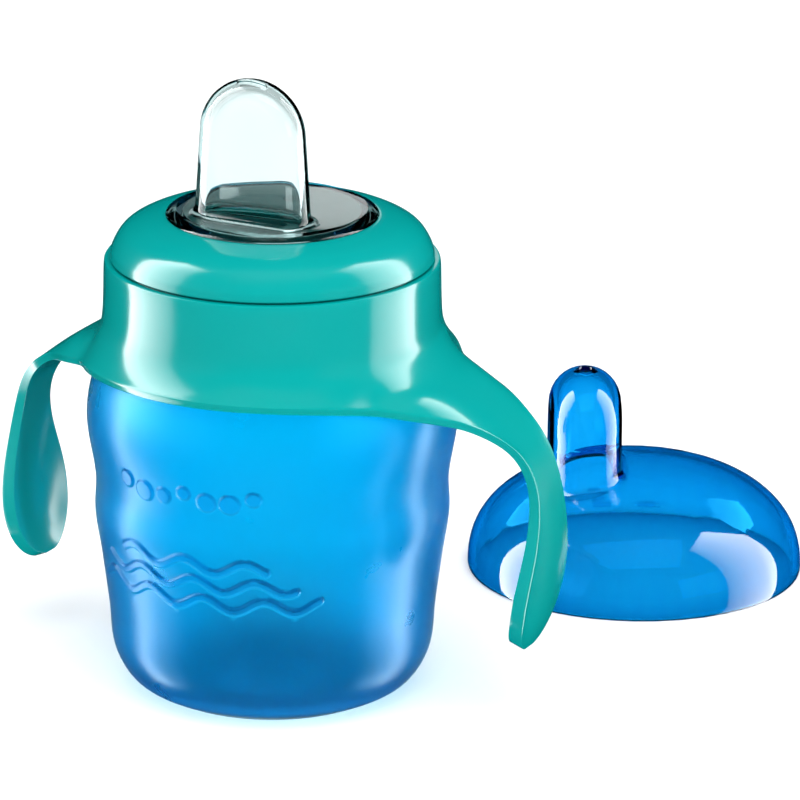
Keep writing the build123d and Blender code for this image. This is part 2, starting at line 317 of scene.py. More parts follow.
def close_mesh(name, grid, sharp):
    """Welds a mesh, turns its faces outwards, smooths it and makes its object."""
    bmesh.ops.remove_doubles(grid, verts=grid.verts, dist=0.002 * MM)
    if not all(edge.is_manifold for edge in grid.edges):
        raise RuntimeError(f"the skin of {name} is not closed")
    bmesh.ops.recalc_face_normals(grid, faces=grid.faces)
    mesh = bpy.data.meshes.new(name)
    grid.to_mesh(mesh)
    grid.free()
    mesh.shade_smooth()
    mesh.set_sharp_from_angle(angle=math.radians(sharp))
    piece = bpy.data.objects.new(name, mesh)
    bpy.context.collection.objects.link(piece)
    return piece


def combine(piece, other, operation):
    """Takes the other shape out of the piece, or makes it part of the piece."""
    modifier = piece.modifiers.new("shape", "BOOLEAN")
    modifier.object = other
    modifier.operation = operation
    modifier.solver = "EXACT"
    graph = bpy.context.evaluated_depsgraph_get()
    mesh = bpy.data.meshes.new_from_object(piece.evaluated_get(graph))
    piece.modifiers.clear()
    piece.data = mesh
    if not mesh.polygons:
        raise RuntimeError(f"nothing is left of {piece.name}")
    bpy.data.objects.remove(other)


def finish_piece(piece, node, body, material):
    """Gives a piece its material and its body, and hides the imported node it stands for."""
    piece.data.materials.clear()
    piece.data.materials.append(material)
    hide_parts(node)
    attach(piece, body)


def thread_bump(angle, height, first_angle, first_height, rise):
    """How far a two-start thread stands out at an angle and a height."""
    highest = 0.0
    length = 360 * rise / THREAD_LEAD
    for start in range(THREAD_STARTS):
        turn = (math.degrees(angle) - first_angle - 360 * start / THREAD_STARTS) % 360
        if turn > length:
            continue
        away = abs(height - first_height - THREAD_LEAD * turn / 360)
        flank = min(1.0, max(0.0, (THREAD_HALF - away) / THREAD_FLANK))
        fade = min(1.0, turn / THREAD_FADE, (length - turn) / THREAD_FADE)
        highest = max(highest, THREAD_DEPTH * flank * fade)
    return highest


# ---- Materials ------------------------------------------------------------------------


def add_node(tree, kind, inputs=None, **settings):
    """Adds a shader node; inputs are values, or outputs of other nodes, by socket name."""
    node = tree.nodes.new(kind)
    for name, value in settings.items():
        setattr(node, name, value)
    for name, value in (inputs or {}).items():
        if isinstance(value, bpy.types.NodeSocket):
            tree.links.new(value, node.inputs[name])
        else:
            node.inputs[name].default_value = value
    return node


def new_material(name):
    """Empty node material and its tree."""
    material = bpy.data.materials.new(name)
    material.use_nodes = True
    material.node_tree.nodes.clear()
    return material, material.node_tree


def grain(tree, size_mm, detail=3.0):
    """Noise whose blotches are about size_mm across, in the piece's own space."""
    place = add_node(tree, "ShaderNodeTexCoord")
    noise = add_node(
        tree,
        "ShaderNodeTexNoise",
        {"Vector": place.outputs["Object"], "Scale": 1000 / size_mm, "Detail": detail},
    )
    return noise.outputs["Fac"]


def between(tree, value, low, high):
    """Maps a noise value onto a range."""
    mapped = add_node(
        tree,
        "ShaderNodeMapRange",
        {"Value": value, "From Min": 0.3, "From Max": 0.7, "To Min": low, "To Max": high},
    )
    return mapped.outputs["Result"]


def dye(tree, colour, wall):
    """Absorption that leaves the given colour of white light behind one wall."""
    fading = [-math.log(max(share, 0.001)) / wall for share in colour[:3]]
    strongest = max(fading)
    passed = tuple(1 - rate / strongest for rate in fading) + (1.0,)
    node = add_node(tree, "ShaderNodeVolumeAbsorption", {"Color": passed, "Density": strongest})
    return node.outputs["Volume"]


def polypropylene_tinted(colours, wall):
    """Polypropylene, moulded and tinted: a satin skin that blurs what shows through it."""
    material, tree = new_material("polypropylene, moulded, tinted blue")
    ripple = add_node(
        tree, "ShaderNodeBump", {"Height": grain(tree, 9), "Strength": 0.02, "Distance": 0.0002}
    )
    # The haze swallows most of the sheen, so the reflections are faint and blue.
    surface = add_node(
        tree,
        "ShaderNodeBsdfPrincipled",
        {
            "Base Color": linear("#95F8FF"),
            "Roughness": between(tree, grain(tree, 14), 0.27, 0.33),
            "IOR": 1.49,
            "Transmission Weight": 1.0,
            "Specular IOR Level": 0.05,
            "Specular Tint": linear("#27C4FF"),
            "Normal": ripple.outputs["Normal"],
        },
    )
    volume = dye(tree, colours.cup, wall)
    add_node(
        tree, "ShaderNodeOutputMaterial", {"Surface": surface.outputs["BSDF"], "Volume": volume}
    )
    return material


def polypropylene_clear(colours, wall):
    """Clarified polypropylene, moulded: clear enough to see the far rim through."""
    material, tree = new_material("polypropylene, clarified, moulded")
    flow = add_node(
        tree, "ShaderNodeBump", {"Height": grain(tree, 16), "Strength": 0.04, "Distance": 0.0003}
    )
    surface = add_node(
        tree,
        "ShaderNodeBsdfPrincipled",
        {
            "Base Color": linear("#F9FDFF"),
            "Roughness": between(tree, grain(tree, 20), 0.02, 0.05),
            "IOR": 1.49,
            "Transmission Weight": 1.0,
            "Normal": flow.outputs["Normal"],
        },
    )
    volume = dye(tree, colours.cap, wall)
    add_node(
        tree, "ShaderNodeOutputMaterial", {"Surface": surface.outputs["BSDF"], "Volume": volume}
    )
    return material


def polypropylene_opaque(colours):
    """Polypropylene, moulded in a polished tool: opaque teal with a bright gloss."""
    material, tree = new_material("polypropylene, moulded, opaque teal")
    base = colours.handles
    deep = tuple(0.93 * c for c in base[:3]) + (1.0,)
    tint = add_node(tree, "ShaderNodeMix", data_type="RGBA")
    tint.inputs[6].default_value = deep
    tint.inputs[7].default_value = base
    tree.links.new(grain(tree, 25), tint.inputs[0])
    flow = add_node(
        tree, "ShaderNodeBump", {"Height": grain(tree, 12), "Strength": 0.03, "Distance": 0.0003}
    )
    surface = add_node(
        tree,
        "ShaderNodeBsdfPrincipled",
        {
            "Base Color": tint.outputs[2],
            "Roughness": between(tree, grain(tree, 18), 0.13, 0.18),
            "IOR": 1.49,
            "Subsurface Weight": 0.08,
            "Subsurface Scale": 0.002,
            "Subsurface Radius": (0.1, 1.0, 0.9),
            "Normal": flow.outputs["Normal"],
        },
    )
    add_node(tree, "ShaderNodeOutputMaterial", {"Surface": surface.outputs["BSDF"]})
    return material


def silicone_clear(colours, wall):
    """Silicone rubber, moulded and clear: bends light a little less than glass."""
    material, tree = new_material("silicone, moulded, clear")
    surface = add_node(
        tree,
        "ShaderNodeBsdfPrincipled",
        {
            "Base Color": linear("#FDFEFE"),
            "Roughness": between(tree, grain(tree, 8), 0.015, 0.04),
            "IOR": 1.41,
            "Transmission Weight": 1.0,
        },
    )
    volume = dye(tree, colours.spout, wall)
    add_node(
        tree, "ShaderNodeOutputMaterial", {"Surface": surface.outputs["BSDF"], "Volume": volume}
    )
    return material


def silicone_painted_shade(colours):
    """Silicone rubber, moulded: a satin skin whose dark colour is painted shade of the cup's
    inside, seen through the spout.
    """
    material, tree = new_material("silicone, moulded, painted dark shade")
    surface = add_node(
        tree,
        "ShaderNodeBsdfPrincipled",
        {
            "Base Color": colours.valve,
            "Roughness": between(tree, grain(tree, 5), 0.35, 0.5),
            "IOR": 1.41,
        },
    )
    add_node(tree, "ShaderNodeOutputMaterial", {"Surface": surface.outputs["BSDF"]})
    return material


def paper(colours):
    """Seamless studio paper: matt and almost white, with a faint tooth."""
    material, tree = new_material("paper, seamless backdrop")
    # Real paper's tooth is too fine to show, so it is drawn coarser.
    tooth = add_node(
        tree, "ShaderNodeBump", {"Height": grain(tree, 1.5), "Strength": 0.05, "Distance": 0.0002}
    )
    surface = add_node(
        tree,
        "ShaderNodeBsdfPrincipled",
        {
            "Base Color": colours.floor,
            "Roughness": 0.9,
            "Specular IOR Level": 0.1,
            "Normal": tooth.outputs["Normal"],
        },
    )
    add_node(tree, "ShaderNodeOutputMaterial", {"Surface": surface.outputs["BSDF"]})
    return material


# ---- Cup body -------------------------------------------------------------------------

FOOT_R = 24.0
FLOOR_Z = 1.8
SIDE_LOW_Z = 3.0
SIDE_HIGH_Z = 70.5
LEDGE_R = 30.6
LEDGE_Z = 72.6
NECK_R = 27.0
NECK_BORE_R = 25.2
NECK_LOW_Z = 74.0
NECK_ROWS = 66
NECK_ROW = 0.22

# The relief on the front: three ripple lines under a row of bubbles. The skin's grid is
# denser there: steps are degrees round the side, and rows are millimetres up it.
DENSE_ANGLE = 50.0
DENSE_STEP = 0.42
PLAIN_STEP = 2.5
DENSE_ROW = 0.26
PLAIN_ROW = 1.1
RELIEF_ZONES = ((24.0, 38.5), (45.5, 53.0))
RELIEF_FLANK = 0.34
RIPPLE_ANGLE = 44.0
RIPPLE_SHARES = (1.0, 0.82, 0.6)
RIPPLE_Z = 27.3
RIPPLE_GAP = 4.0
RIPPLE_LENGTH = 12.5
RIPPLE_SWING = 1.25
RIPPLE_SHIFT = 0.9
BUBBLES = 7
BUBBLE_GAP = 4.6
BUBBLE_Z = 49.2
BUBBLE_R = 1.75


def wavy_side(inset):
    """Points up the cup's wavy side, moved in by inset."""
    shoulder = CUP_HIGH.x - 0.05 - inset
    return [
        (shoulder - 8.1, 2.7 + inset / 2),
        (shoulder - 5.1, 8.0),
        (shoulder - 4.1, 17.0),
        (shoulder - 2.7, 28.0),
        (shoulder - 1.5, 36.5),
        (shoulder - 1.7, 43.5),
        (shoulder, 56.0),
        (shoulder - 0.9, 63.0),
        (shoulder - 3.0, 69.0 - inset / 2),
    ]


def ripple_relief(angle, height, sizes):
    """Raised ripples and bubbles on the front of the cup, from 0 to 1."""
    radius = CUP_HIGH.x - 2
    across = math.radians((math.degrees(angle) - FRONT + 180) % 360 - 180) * radius
    edge = math.radians(RIPPLE_ANGLE) * radius
    half = sizes.ripple_width / MM / 2
    nearest = radius
    for line, share in enumerate(RIPPLE_SHARES):
        reach = edge * share
        held = max(-reach, min(reach, across))
        wave = math.tau * held / RIPPLE_LENGTH + line * RIPPLE_SHIFT
        middle = RIPPLE_Z + RIPPLE_GAP * line + RIPPLE_SWING * math.sin(wave)
        slope = RIPPLE_SWING * math.tau / RIPPLE_LENGTH * math.cos(wave)
        beside = abs(height - middle) / math.sqrt(1 + slope**2)
        nearest = min(nearest, math.hypot(beside, across - held) - half)
    for bubble in range(BUBBLES):
        place = (bubble - (BUBBLES - 1) / 2) * BUBBLE_GAP
        lift = BUBBLE_Z + 0.9 * math.cos(bubble * 2.1)
        size = BUBBLE_R + 0.35 * math.sin(bubble * 1.7)
        nearest = min(nearest, math.hypot(across - place, height - lift) - size)
    flank = max(0.0, min(1.0, 0.5 - nearest / RELIEF_FLANK))
    return flank * flank * (3 - 2 * flank)


def cup_outline(sizes):
    """Closed half outline of the cup, from the middle of its foot round to its floor."""
    wall = sizes.wall / MM
    rim = CUP_HIGH.z
    foot = softened(
        [
            (0, 0, 0),
            (7.0, 0, 0.2),
            (7.4, 0.5, 0.2),
            (8.6, 0.5, 0.2),
            (9.0, 0, 0.2),
            (FOOT_R, 0, 0),
        ]
    )
    side = smooth_curve([(FOOT_R, 0), *wavy_side(0), (LEDGE_R, LEDGE_Z)], 24)
    flipped = [(point.y, point.x) for point in side[::6]]
    dense = []
    height = SIDE_LOW_Z
    while height < SIDE_HIGH_Z:
        dense.append(Vector((along(flipped, height), height)))
        in_relief = any(low < height < high for low, high in RELIEF_ZONES)
        height += DENSE_ROW if in_relief else PLAIN_ROW
    top = [point for point in side if point.y >= SIDE_HIGH_Z]
    bottom = [point for point in side if point.y < SIDE_LOW_Z]
    threads = [Vector((NECK_R, NECK_LOW_Z + NECK_ROW * i)) for i in range(NECK_ROWS)]
    lip = softened(
        [
            (NECK_R, rim - 2.0, 0),
            (NECK_R, rim, 0.5),
            (NECK_BORE_R, rim, 0.5),
            (NECK_BORE_R, LEDGE_Z + 0.4, 0.8),
            (LEDGE_R - wall, LEDGE_Z - 1.8, 0),
        ]
    )
    floor = [(FOOT_R - 4.0, FLOOR_Z), (FOOT_R + 0.5, FLOOR_Z + 0.2)]
    inside = list(reversed(smooth_curve([*floor, *wavy_side(wall)], 7)))
    return foot + bottom + dense + top + threads + lip + inside + [Vector((0, FLOOR_Z))]


def build_cup(sizes):
    """Cup body: a revolved wall with its relief and its neck thread formed in it."""
    angles = []
    angle = FRONT - 180
    while angle < FRONT + 180 - 0.01:
        angles.append(math.radians(angle))
        angle += DENSE_STEP if abs(angle - FRONT) < DENSE_ANGLE else PLAIN_STEP
    outline = cup_outline(sizes)
    inner = max(range(len(outline)), key=lambda i: outline[i].y)
    low, high = RELIEF_ZONES[0][0] - 1, RELIEF_ZONES[-1][1] + 1
    rings = []
    for place, point in enumerate(outline):
        ring = []
        for angle in angles:
            radius = point.x
            if place < inner and low < point.y < high:
                radius += sizes.relief / MM * ripple_relief(angle, point.y, sizes)
            if place < inner and point.y > NECK_LOW_Z:
                radius += thread_bump(angle, point.y, 0, NECK_THREAD_Z, NECK_THREAD_RISE)
            radius = min(radius, CUP_HIGH.x)
            ring.append(Vector((radius * math.cos(angle), radius * math.sin(angle), point.y)))
        rings.append(ring)
    return skin("cup_body_wall", rings, 50)


# ---- Handle collar --------------------------------------------------------------------

ZONE = 29.4
ACROSS = (-1.0, -0.84, -0.58, -0.3, 0.0, 0.3, 0.58, 0.84, 1.0)
SIDE_STEPS = 16
RIM_DROOP = 2.5
DROOP_POWER = 3.2
CROWN_POWER = 5
# Where the handles flatten into paddles: the heights between which they do, how far the
# dish goes in on either face, and how much the paddle twists.
PADDLE_TOP_Z = 46.0
PADDLE_TOP_FADE = 12.0
PADDLE_LOW_Z = 15.5
PADDLE_LOW_FADE = 6.0
DISH_OUTSIDE = 0.55
DISH_INSIDE = 1.2
PADDLE_TWIST = 0.5
# How crisp the subdivided collar stays along its rim, its lip and the steps inside it.
RIM_CREASE = 0.7
LIP_CREASE = 0.5
STEP_CREASE = 0.7
STEP_ROWS = (3, 4, 5, 6)
ROUNDING_LEVELS = 3
# Rows from the lip down the sleeve to the skirt: radius, height, the same two at the
# middle of a handle's root, and the share of the rim's droop that the row takes.
SLEEVE = [
    (30.8, 88.0, 30.8, 88.0, 0.0),
    (31.9, 88.2, 31.9, 88.2, 0.0),
    (33.0, 88.15, 33.0, 88.15, 0.0),
    (33.2, 87.3, 33.2, 87.3, 0.0),
    (33.25, 83.0, 33.25, 83.0, 0.0),
    (33.4, 78.4, 33.35, 77.6, 0.0),
    (33.75, 75.2, 33.45, 74.9, 0.1),
    (34.9, 72.9, 34.5, 73.3, 0.3),
    (36.4, 71.0, 36.4, 71.5, 0.65),
    (37.85, 69.65, 38.3, 70.0, 1.0),
]
# Handle rows from the root to the tip: x and height of the outer face at its edges, y of
# the near and far edge, and how much further out the middle of the row stands.
HANDLE = [
    (38.2, 66.2, -15.6, 15.9, 3.4),
    (42.2, 65.0, -11.9, 14.8, 2.6),
    (46.2, 63.6, -8.0, 13.5, 1.5),
    (50.4, 61.3, -5.0, 11.6, 0.7),
    (54.6, 58.2, -2.4, 10.1, 0.2),
    (57.6, 53.8, -1.1, 9.3, 0.0),
    (59.2, 48.4, -0.7, 9.5, 0.0),
    (59.8, 42.0, -2.0, 10.9, 0.0),
    (59.6, 35.0, -4.5, 13.0, 0.0),
    (58.9, 28.5, -6.3, 13.7, 0.0),
    (57.9, 22.6, -5.8, 12.3, 0.0),
    (57.0, 18.8, -4.0, 9.8, 0.0),
    (56.2, 16.4, -1.6, 7.0, 0.0),
    (55.8, 15.5, 1.0, 4.4, 0.0),
]
MIDDLE_LINE = [
    (36.0, 71.7),
    (38.0, 70.2),
    (42.0, 67.6),
    (46.0, 64.8),
    (50.0, 61.8),
    (54.0, 58.3),
    (60.0, 50.0),
]
# Inside of the collar from the skirt's lower edge up to the lip, in the same terms.
INSIDE = [
    (37.4, 68.2, 37.4, 69.0, 1.0),
    (36.2, 68.5, 36.1, 70.2, 0.8),
    (34.5, 70.8, 34.4, 72.0, 0.2),
    (32.2, 72.8, 32.2, 72.9, 0.0),
    (28.9, 72.8, 28.9, 72.8, 0.0),
    (28.9, 74.2, 28.9, 74.2, 0.0),
    (30.75, 74.4, 30.75, 74.4, 0.0),
    (30.75, 80.0, 30.75, 80.0, 0.0),
    (30.75, 87.5, 30.75, 87.5, 0.0),
]
THICKNESS = [(70.0, 1.5), (60.0, 1.7), (50.0, 2.1), (42.0, 2.4), (30.0, 2.9), (10.0, 3.0)]


def collar_point(row, degrees, share):
    """Point of a sleeve or inside row, drooping towards the roots of the handles."""
    radius, height, mid_radius, mid_height, droop = row
    crown = 0.0 if share is None else 1 - abs(share) ** CROWN_POWER
    from_handle = min(degrees % 180, 180 - degrees % 180)
    sag = RIM_DROOP * ((90 - max(from_handle, ZONE)) / (90 - ZONE)) ** DROOP_POWER
    reach = radius + (mid_radius - radius) * crown
    level = height - droop * sag
    level += (mid_height - level) * crown
    turn = math.radians(degrees)
    return Vector((reach * math.cos(turn), reach * math.sin(turn), level))


def handle_point(row, share, depth):
    """Point of a handle's row; share runs from the near edge (-1) to the far edge (1)."""
    x, z, near, far, bow = HANDLE[row]
    crown = 1 - abs(share) ** CROWN_POWER
    before = HANDLE[max(row - 1, 0)]
    after = HANDLE[min(row + 1, len(HANDLE) - 1)]
    run = Vector((after[0] - before[0], 0, after[1] - before[1])).normalized()
    inward = Vector((run.z, 0, -run.x))
    middle_x = x + bow * math.cos(math.pi * share / 2) ** 2
    if bow:
        z = z * (1 - crown) + along(MIDDLE_LINE, middle_x) * crown
    paddle = max(0.0, min(1.0, (PADDLE_TOP_Z - z) / PADDLE_TOP_FADE))
    paddle *= max(0.0, min(1.0, (z - PADDLE_LOW_Z) / PADDLE_LOW_FADE))
    dish = max(0.0, 1 - ((share - 0.12) / 0.85) ** 2) * paddle
    dish *= DISH_INSIDE if depth else DISH_OUTSIDE
    twist = -PADDLE_TWIST * share * paddle
    point = Vector((middle_x, (near + far) / 2 + share * (far - near) / 2, z))
    return point + inward * (depth - twist - dish)


def handle_thickness(row, sizes):
    """Thickness of a handle at a row, thin at the root and full at the paddle."""
    return along(THICKNESS, HANDLE[row][1]) * sizes.grip / MM / THICKNESS[-1][1]


def collar_columns():
    """Angle, handle side and share across the handle for every column round the collar."""
    columns = []
    for hand in (1, -1):
        middle = 0 if hand > 0 else 180
        for share in ACROSS:
            columns.append((middle + ZONE * share, hand, share * hand))
        for step in range(1, SIDE_STEPS):
            degrees = middle + ZONE + (180 - 2 * ZONE) * step / SIDE_STEPS
            columns.append((degrees, 0, None))
    return columns


def build_collar(sizes):
    """Handle collar: one cage for sleeve, skirt and both handles, then subdivided."""
    grid = bmesh.new()
    columns = collar_columns()
    count = len(columns)
    outer, inner = {}, {}
    last = len(SLEEVE) - 1
    for c, (degrees, hand, share) in enumerate(columns):
        for r, row in enumerate(SLEEVE):
            outer[c, r] = grid.verts.new(collar_point(row, degrees, share) * MM)
        for r, row in enumerate(INSIDE):
            inner[c, last - r] = grid.verts.new(collar_point(row, degrees, share) * MM)
        if not hand:
            continue
        for row in range(len(HANDLE)):
            for store, depth in ((outer, 0.0), (inner, handle_thickness(row, sizes))):
                point = handle_point(row, share, depth)
                point.x *= hand
                store[c, last + 1 + row] = grid.verts.new(point * MM)
    rows = range(last + len(HANDLE) + 1)
    bottom = last - len(INSIDE) + 1
    for c in range(count):
        d = (c + 1) % count
        for r in rows:
            if (c, r + 1) in outer and (d, r + 1) in outer:
                grid.faces.new((outer[c, r], outer[d, r], outer[d, r + 1], outer[c, r + 1]))
        for r in range(bottom, rows[-1] + 1):
            if (c, r + 1) in inner and (d, r + 1) in inner:
                grid.faces.new((inner[c, r], inner[c, r + 1], inner[d, r + 1], inner[d, r]))
        grid.faces.new((outer[d, 0], outer[c, 0], inner[c, bottom], inner[d, bottom]))
    creases = grid.edges.layers.float.new("crease_edge")
    for a, b in rim_pairs(columns, last):
        grid.faces.new((outer[a], outer[b], inner[b], inner[a]))
        for store in (outer, inner):
            grid.edges.get((store[a], store[b]))[creases] = RIM_CREASE
    for c in range(count):
        d = (c + 1) % count
        grid.edges.get((outer[c, 2], outer[d, 2]))[creases] = LIP_CREASE
        for r in STEP_ROWS:
            grid.edges.get((inner[c, last - r], inner[d, last - r]))[creases] = STEP_CREASE
    piece = close_mesh("handle_collar_moulding", grid, 60)
    smooth = piece.modifiers.new("rounding", "SUBSURF")
    smooth.levels = ROUNDING_LEVELS
    smooth.render_levels = ROUNDING_LEVELS
    return piece


def rim_pairs(columns, last):
    """Neighbouring places along the lower rim, which runs out and back round each handle."""
    pairs = []
    count = len(columns)
    end = last + len(HANDLE)
    for c, (_, hand, share) in enumerate(columns):
        d = (c + 1) % count
        if hand and columns[d][1]:
            pairs.append(((c, end), (d, end)))
        else:
            pairs.append(((c, last), (d, last)))
        if hand and share in (-1.0, 1.0):
            for r in range(last, end):
                pairs.append(((c, r), (c, r + 1)))
    return pairs


# ---- Screw ring -----------------------------------------------------------------------

SEAM_Z = 88.5
RING_R = 30.35
RING_BORE_R = 28.45
RING_HOLE_R = 20.4
BORE_TOP_Z = 89.0
BORE_ROWS = 46
BORE_ROW = 0.3
BEAD_R = 30.95


def build_ring():
    """Screw ring: a rounded dome over a threaded skirt."""
    top, foot = RING_HIGH.z, RING_LOW.z
    edge = RING_HIGH.x - 0.02
    dome = smooth_curve(
        [
            (edge, SEAM_Z + 0.3),
            (edge - 0.4, SEAM_Z + 2.0),
            (edge - 2.3, SEAM_Z + 5.1),
            (edge - 5.4, SEAM_Z + 7.0),
            (22.6, top - 0.25),
            (21.4, top - 0.05),
        ],
        10,
    )
    lip = softened(
        [
            (21.4, top - 0.05, 0),
            (RING_HOLE_R, top, 0.5),
            (RING_HOLE_R, top - 1.9, 0.4),
            (25.2, top - 2.8, 0.6),
            (RING_BORE_R, 91.9, 0.8),
            (RING_BORE_R, BORE_TOP_Z, 0),
        ]
    )
    steps = range(1, BORE_ROWS + 1)
    bore = [Vector((RING_BORE_R, BORE_TOP_Z - BORE_ROW * step)) for step in steps]
    skirt = softened(
        [
            (RING_BORE_R, foot + 0.3, 0),
            (RING_BORE_R, foot, 0.3),
            (RING_R, foot, 0.3),
            (RING_R, 82.9, 0.2),
            (BEAD_R, 83.3, 0.1),
            (BEAD_R, 83.7, 0.1),
            (RING_R, 84.1, 0.2),
            (RING_R, SEAM_Z, 0),
            (edge, SEAM_Z, 0.2),
            (edge, SEAM_Z + 0.3, 0),
        ]
    )
    outline = dome + lip[1:] + bore + skirt[1:]
    first = len(dome) + len(lip) - 1
    angles = even_angles(180)
    start = (RING_THREAD_ANGLE, RING_THREAD_Z, RING_THREAD_RISE)
    rings = []
    for place, point in enumerate(outline):
        ring = []
        for angle in angles:
            radius = point.x
            if first <= place < first + BORE_ROWS:
                radius -= thread_bump(angle, point.y, *start)
            ring.append(Vector((radius * math.cos(angle), radius * math.sin(angle), point.y)))
        rings.append(ring)
    return skin("screw_ring_dome", rings, 40)


# ---- Soft spout -----------------------------------------------------------------------

SPOUT_Y = -8.0
SPOUT_BASE_HALF = 12.2
SPOUT_HALF = 11.1
SPOUT_DEPTH_HALF = 4.3
SPOUT_FILLET = 1.6
SPOUT_FILLET_ROWS = 6
DISC_R = 18.7
DISC_Z = 98.3
DISC_CROWN = 0.35
DISC_SHARES = (0.2, 0.4, 0.6, 0.8, 0.93, 1.0)
DISC_UNDER_Z = 96.4
POCKET_R = 17.6
SLIT_HALF = 2.75
SLIT_HALF_WIDTH = 0.25


def disc_top(radius):
    """Height of the disc's crowned top at a radius."""
    return DISC_Z + DISC_CROWN * (1 - (radius / DISC_R) ** 2)


def build_spout(sizes):
    """Soft spout: hollow arch, disc, groove and flange as one closed skin."""
    wall = sizes.spout_wall / MM
    base, half, depth, top = SPOUT_BASE_HALF, SPOUT_HALF, SPOUT_DEPTH_HALF, SPOUT_HIGH.z
    start_z = disc_top(10) + SPOUT_FILLET
    rings = arch_rings(SPOUT_Y, base, half, start_z, top, depth, 0.25)
    rings.reverse()
    for step in range(1, SPOUT_FILLET_ROWS + 1):
        turn = math.pi / 2 * step / SPOUT_FILLET_ROWS
        grow = SPOUT_FILLET * (1 - math.cos(turn))
        drop = SPOUT_FILLET * (1 - math.sin(turn))
        ring = slot_ring(base - depth, 0, depth + grow, SPOUT_Y, 0, 0.25)
        rings.append([Vector((p.x, p.y, disc_top(p.xy.length) + drop)) for p in ring])
    rings += spread(rings[-1], SPOUT_Y, DISC_R, DISC_SHARES, disc_top)
    angles = [math.atan2(p.y, p.x) for p in rings[-1]]
    profile = softened(
        [
            (DISC_R, DISC_Z, 0),
            (DISC_R + 0.15, DISC_Z - 0.02, 0.1),
            (20.7, 97.45, 0.3),
            (21.0, 97.0, 0.1),
            (20.3, 97.0, 0.1),
            (20.3, 94.9, 0.1),
            (25.2, 93.8, 0.5),
            (SPOUT_HIGH.x, 92.3, 0.5),
            (SPOUT_HIGH.x, SPOUT_LOW.z, 0.3),
            (24.9, SPOUT_LOW.z, 0.3),
            (23.6, 92.4, 0.3),
            (19.0, 93.2, 0.3),
            (POCKET_R, 93.2, 0.2),
            (POCKET_R, DISC_UNDER_Z, 0.2),
            (POCKET_R - 0.4, DISC_UNDER_Z, 0),
        ]
    )
    rings += [circle_ring(angles, p.x, p.y) for p in profile[1:]]
    foot = slot_ring(base - depth, DISC_UNDER_Z, depth - wall, SPOUT_Y, 0, 0.1)
    shares = (0.85, 0.6, 0.35, 0.15, 0.0)
    rings += spread(foot, SPOUT_Y, POCKET_R - 0.4, shares, lambda radius: DISC_UNDER_Z)
    hollow_z = DISC_UNDER_Z + 0.8
    rings += arch_rings(
        SPOUT_Y, base - wall, half - wall, hollow_z, top - wall, depth - wall, 0.1
    )
    piece = skin("soft_spout_skin", rings, 50)
    ends = ((0.0, top - 3), (1.0, top - 3), (1.0, top + 1), (0.0, top + 1))
    slit = skin(
        "slit",
        [
            slot_ring(SLIT_HALF * share, level, SLIT_HALF_WIDTH * share, SPOUT_Y)
            for share, level in ends
        ],
    )
    combine(piece, slit, "DIFFERENCE")
    return piece


# ---- Hygiene cap ----------------------------------------------------------------------

TOWER_Y = -11.0
TOWER_CROWN = 0.8
TOWER_NECK_Z = 29.0
CAP_TURN = -61.5
CAP_R = 35.4
CAP_DOME_Z = 22.4
CAP_LIP = 0.5
DOME_POWER = 2.3
DOME_ROWS = 34
TOWER_BASE_HALF = 13.4
TOWER_HALF = 12.6
TOWER_DEPTH_HALF = 7.6
TOWER_ROWS = 8
OUTER_FILLET = 1.8
INNER_FILLET = 2.6
TOWER_FILLET_ROWS = 7
VENT_R = 1.7
TAB_ANGLES = (171.7, 188.3)
TAB_SIZE = (1.2, 4.0, 1.0)
TAB_ROUNDING = 0.2
TAB_Z = 2.2


def cap_half(inset):
    """Rings of one side of the cap's wall, from the tower's top line to the rim."""
    radius = CAP_R - inset
    crown = CAP_DOME_Z - inset
    base, half, depth = TOWER_BASE_HALF - inset, TOWER_HALF - inset, TOWER_DEPTH_HALF - inset
    fillet = OUTER_FILLET if inset == 0 else INNER_FILLET

    def dome(reach):
        rest = max(0.0, 1 - (reach / radius) ** DOME_POWER)
        return CAP_LIP + (crown - CAP_LIP) * rest ** (1 / DOME_POWER)

    top = CAP_HIGH.z + TOWER_CROWN - inset
    rings = arch_rings(TOWER_Y, half, half, TOWER_NECK_Z, top, depth, 0.2)
    rings.reverse()
    for step in range(1, TOWER_ROWS + 1):
        share = step / TOWER_ROWS
        ring = slot_ring(half - depth + (base - half) * share, 0, depth, TOWER_Y, 0.0, 0.2)
        for point in ring:
            foot = dome(point.xy.length) + fillet
            point.z = TOWER_NECK_Z + (foot - TOWER_NECK_Z) * share
        rings.append(ring)
    for step in range(1, TOWER_FILLET_ROWS + 1):
        turn = math.pi / 2 * step / TOWER_FILLET_ROWS
        flare = depth + fillet * (1 - math.cos(turn))
        ring = slot_ring(base - depth, 0, flare, TOWER_Y, 0.0, 0.2)
        for point in ring:
            point.z = dome(point.xy.length) + fillet * (1 - math.sin(turn))
        rings.append(ring)
    turns = [math.pi / 2 * step / DOME_ROWS for step in range(1, DOME_ROWS + 1)]
    shares = [math.sin(turn) ** (2 / DOME_POWER) for turn in turns]
    return rings + spread(rings[-1], TOWER_Y, radius, shares, dome)


def snap_tab(degrees, wall):
    """Small pad inside the cap's rim that clicks over the edge of the ring."""
    pad = bmesh.new()
    bmesh.ops.create_cube(pad, size=MM)
    bmesh.ops.scale(pad, verts=pad.verts, vec=TAB_SIZE)
    rounding = TAB_ROUNDING * MM
    bmesh.ops.bevel(pad, geom=pad.edges, offset=rounding, segments=2, affect="EDGES")
    bmesh.ops.translate(pad, verts=pad.verts, vec=((CAP_R - wall - 0.2) * MM, 0, TAB_Z * MM))
    turn = Matrix.Rotation(math.radians(degrees), 3, "Z")
    bmesh.ops.rotate(pad, verts=pad.verts, matrix=turn)
    return close_mesh("tab", pad, 50)


